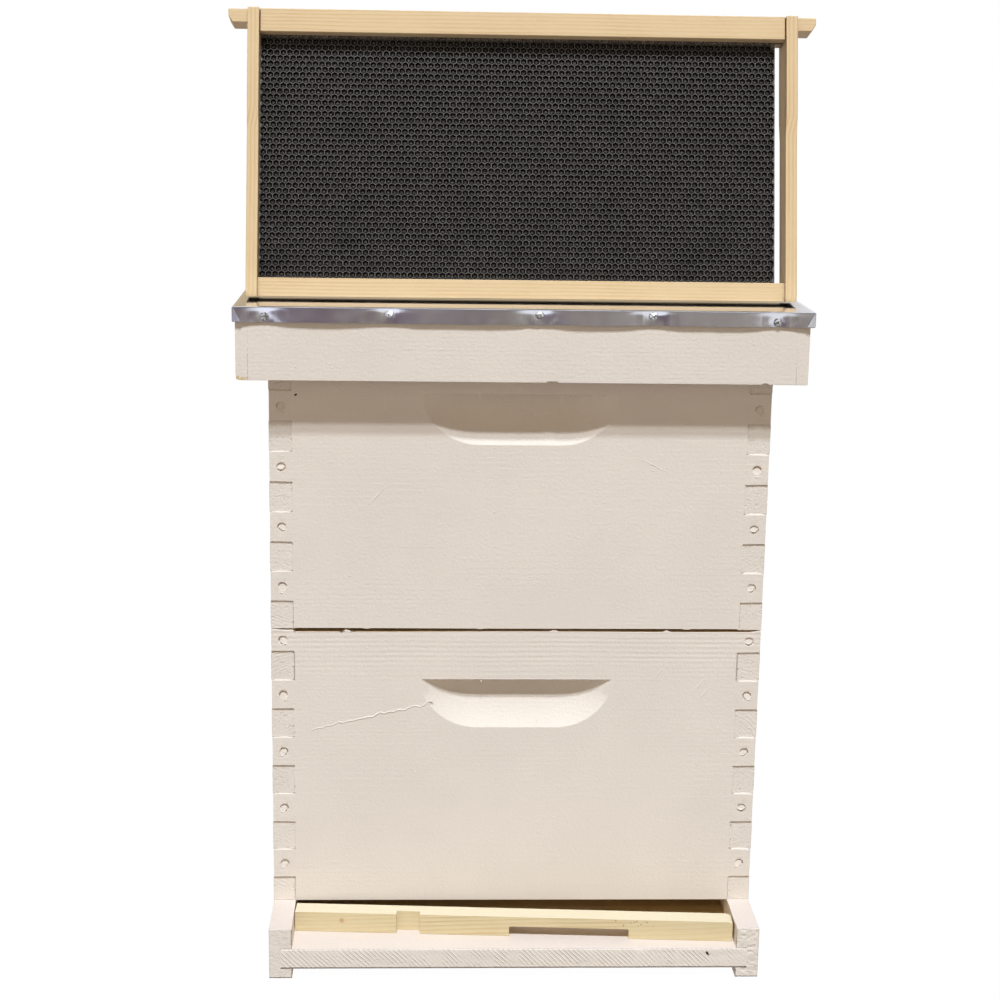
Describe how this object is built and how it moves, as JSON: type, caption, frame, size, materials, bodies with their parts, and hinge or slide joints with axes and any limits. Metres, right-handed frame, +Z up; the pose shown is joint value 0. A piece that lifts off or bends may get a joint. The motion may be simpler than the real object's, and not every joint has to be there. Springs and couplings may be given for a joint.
{
  "type": "langstroth beehive",
  "caption": "Stacked wooden beehive: bottom board with loose entrance reducer, deep boxes of hanging frames, inner cover, metal-clad telescoping cover, one frame on top.",
  "frame": {"origin": "on the ground, at the middle of the whole object's plan, between the landing's front edge and the heads of the cover's back nails", "axes": "+Z up; the landing board and the entrance face -Y; +X to the right as seen from the front"},
  "size_m": [0.4826, 0.5906, 0.7947],
  "materials": {
    "painted_pine": "satin cream-white exterior paint, brushed and rolled, with faint grain",
    "bare_pine": "planed bare pine",
    "plywood": "unfinished plywood",
    "foundation_plastic": "black plastic with a light wax coat",
    "galvanised_sheet": "bright galvanised sheet, dented at the nails",
    "bright_nail": "bright galvanised nail",
    "painted_nail": "nail heads painted over with the wood"
  },
  "bodies": {
    "bottom_board": {"floor_board_front": "painted_pine", "floor_board_middle": "painted_pine", "floor_board_rear": "painted_pine", "left_floor_rail": "painted_pine", "right_floor_rail": "painted_pine", "rear_floor_rail": "painted_pine", "floor_nails": "painted_nail"},
    "entrance_reducer": {"entrance_reducer": "bare_pine"},
    "lower_body": {"lower_body_front": "painted_pine", "lower_body_back": "painted_pine", "lower_body_left": "painted_pine", "lower_body_right": "painted_pine", "lower_body_nails": "painted_nail"},
    "upper_body": {"upper_body_front": "painted_pine", "upper_body_back": "painted_pine", "upper_body_left": "painted_pine", "upper_body_right": "painted_pine", "upper_body_nails": "painted_nail"},
    "inner_cover": {"inner_cover_panel": "plywood", "inner_cover_front_rim": "bare_pine", "inner_cover_back_rim": "bare_pine", "inner_cover_left_rim": "bare_pine", "inner_cover_right_rim": "bare_pine", "inner_cover_nails": "bright_nail"},
    "outer_cover": {"outer_cover_front_rim": "painted_pine", "outer_cover_back_rim": "painted_pine", "outer_cover_left_rim": "painted_pine", "outer_cover_right_rim": "painted_pine", "outer_cover_panel": "plywood", "outer_cover_metal": "galvanised_sheet", "outer_cover_rim_nails": "painted_nail", "outer_cover_metal_nails": "bright_nail"},
    "shown_frame": {"shown_frame_top_bar": "bare_pine", "shown_frame_left_end_bar": "bare_pine", "shown_frame_right_end_bar": "bare_pine", "shown_frame_bottom_bar": "bare_pine", "shown_frame_foundation": "foundation_plastic", "shown_frame_nails": "bright_nail"},
    "lower_frame_1": {"lower_frame_1": "bare_pine"},
    "lower_frame_2": {"lower_frame_2": "bare_pine"},
    "lower_frame_3": {"lower_frame_3": "bare_pine"},
    "lower_frame_4": {"lower_frame_4": "bare_pine"},
    "lower_frame_5": {"lower_frame_5": "bare_pine"},
    "lower_frame_6": {"lower_frame_6": "bare_pine"},
    "lower_frame_7": {"lower_frame_7": "bare_pine"},
    "lower_frame_8": {"lower_frame_8": "bare_pine"},
    "lower_frame_9": {"lower_frame_9": "bare_pine"},
    "lower_frame_10": {"lower_frame_10": "bare_pine"},
    "upper_frame_1": {"upper_frame_1": "bare_pine"},
    "upper_frame_2": {"upper_frame_2": "bare_pine"},
    "upper_frame_3": {"upper_frame_3": "bare_pine"},
    "upper_frame_4": {"upper_frame_4": "bare_pine"},
    "upper_frame_5": {"upper_frame_5": "bare_pine"},
    "upper_frame_6": {"upper_frame_6": "bare_pine"},
    "upper_frame_7": {"upper_frame_7": "bare_pine"},
    "upper_frame_8": {"upper_frame_8": "bare_pine"},
    "upper_frame_9": {"upper_frame_9": "bare_pine"}
  },
  "joints": [
    {"name": "reducer_slide", "type": "slide", "parent": "bottom_board", "child": "entrance_reducer", "axis": [0, -1, 0], "range_m": [-0.02, 0.06]},
    {"name": "lower_body_lift", "type": "slide", "parent": "bottom_board", "child": "lower_body", "axis": [0, 0, 1], "range_m": [0, 0.15]},
    {"name": "upper_body_lift", "type": "slide", "parent": "lower_body", "child": "upper_body", "axis": [0, 0, 1], "range_m": [0, 0.31]},
    {"name": "inner_cover_lift", "type": "slide", "parent": "upper_body", "child": "inner_cover", "axis": [0, 0, 1], "range_m": [0, 0.31]},
    {"name": "outer_cover_lift", "type": "slide", "parent": "inner_cover", "child": "outer_cover", "axis": [0, 0, 1], "range_m": [0, 0.12]},
    {"name": "shown_frame_lift", "type": "slide", "parent": "outer_cover", "child": "shown_frame", "axis": [0, 0, 1], "range_m": [0, 0.1]},
    {"name": "lower_frame_1_lift", "type": "slide", "parent": "lower_body", "child": "lower_frame_1", "axis": [0, 0, 1], "range_m": [0, 0.25]},
    {"name": "lower_frame_2_lift", "type": "slide", "parent": "lower_body", "child": "lower_frame_2", "axis": [0, 0, 1], "range_m": [0, 0.25]},
    {"name": "lower_frame_3_lift", "type": "slide", "parent": "lower_body", "child": "lower_frame_3", "axis": [0, 0, 1], "range_m": [0, 0.25]},
    {"name": "lower_frame_4_lift", "type": "slide", "parent": "lower_body", "child": "lower_frame_4", "axis": [0, 0, 1], "range_m": [0, 0.25]},
    {"name": "lower_frame_5_lift", "type": "slide", "parent": "lower_body", "child": "lower_frame_5", "axis": [0, 0, 1], "range_m": [0, 0.25]},
    {"name": "lower_frame_6_lift", "type": "slide", "parent": "lower_body", "child": "lower_frame_6", "axis": [0, 0, 1], "range_m": [0, 0.25]},
    {"name": "lower_frame_7_lift", "type": "slide", "parent": "lower_body", "child": "lower_frame_7", "axis": [0, 0, 1], "range_m": [0, 0.25]},
    {"name": "lower_frame_8_lift", "type": "slide", "parent": "lower_body", "child": "lower_frame_8", "axis": [0, 0, 1], "range_m": [0, 0.25]},
    {"name": "lower_frame_9_lift", "type": "slide", "parent": "lower_body", "child": "lower_frame_9", "axis": [0, 0, 1], "range_m": [0, 0.25]},
    {"name": "lower_frame_10_lift", "type": "slide", "parent": "lower_body", "child": "lower_frame_10", "axis": [0, 0, 1], "range_m": [0, 0.25]},
    {"name": "upper_frame_1_lift", "type": "slide", "parent": "upper_body", "child": "upper_frame_1", "axis": [0, 0, 1], "range_m": [0, 0.25]},
    {"name": "upper_frame_2_lift", "type": "slide", "parent": "upper_body", "child": "upper_frame_2", "axis": [0, 0, 1], "range_m": [0, 0.25]},
    {"name": "upper_frame_3_lift", "type": "slide", "parent": "upper_body", "child": "upper_frame_3", "axis": [0, 0, 1], "range_m": [0, 0.25]},
    {"name": "upper_frame_4_lift", "type": "slide", "parent": "upper_body", "child": "upper_frame_4", "axis": [0, 0, 1], "range_m": [0, 0.25]},
    {"name": "upper_frame_5_lift", "type": "slide", "parent": "upper_body", "child": "upper_frame_5", "axis": [0, 0, 1], "range_m": [0, 0.25]},
    {"name": "upper_frame_6_lift", "type": "slide", "parent": "upper_body", "child": "upper_frame_6", "axis": [0, 0, 1], "range_m": [0, 0.25]},
    {"name": "upper_frame_7_lift", "type": "slide", "parent": "upper_body", "child": "upper_frame_7", "axis": [0, 0, 1], "range_m": [0, 0.25]},
    {"name": "upper_frame_8_lift", "type": "slide", "parent": "upper_body", "child": "upper_frame_8", "axis": [0, 0, 1], "range_m": [0, 0.25]},
    {"name": "upper_frame_9_lift", "type": "slide", "parent": "upper_body", "child": "upper_frame_9", "axis": [0, 0, 1], "range_m": [0, 0.25]}
  ],
  "couplings": [
    {"joint": "lower_frame_1_lift", "follows": "upper_body_lift", "ratio": 0.8},
    {"joint": "lower_frame_2_lift", "follows": "upper_body_lift", "ratio": 0.8},
    {"joint": "lower_frame_3_lift", "follows": "upper_body_lift", "ratio": 0.8},
    {"joint": "lower_frame_4_lift", "follows": "upper_body_lift", "ratio": 0.8},
    {"joint": "lower_frame_5_lift", "follows": "upper_body_lift", "ratio": 0.8},
    {"joint": "lower_frame_6_lift", "follows": "upper_body_lift", "ratio": 0.8},
    {"joint": "lower_frame_7_lift", "follows": "upper_body_lift", "ratio": 0.8},
    {"joint": "lower_frame_8_lift", "follows": "upper_body_lift", "ratio": 0.8},
    {"joint": "lower_frame_9_lift", "follows": "upper_body_lift", "ratio": 0.8},
    {"joint": "lower_frame_10_lift", "follows": "upper_body_lift", "ratio": 0.8},
    {"joint": "upper_frame_1_lift", "follows": "inner_cover_lift", "ratio": 0.8},
    {"joint": "upper_frame_2_lift", "follows": "inner_cover_lift", "ratio": 0.8},
    {"joint": "upper_frame_3_lift", "follows": "inner_cover_lift", "ratio": 0.8},
    {"joint": "upper_frame_4_lift", "follows": "inner_cover_lift", "ratio": 0.8},
    {"joint": "upper_frame_5_lift", "follows": "inner_cover_lift", "ratio": 0.8},
    {"joint": "upper_frame_6_lift", "follows": "inner_cover_lift", "ratio": 0.8},
    {"joint": "upper_frame_7_lift", "follows": "inner_cover_lift", "ratio": 0.8},
    {"joint": "upper_frame_8_lift", "follows": "inner_cover_lift", "ratio": 0.8},
    {"joint": "upper_frame_9_lift", "follows": "inner_cover_lift", "ratio": 0.8}
  ]
}
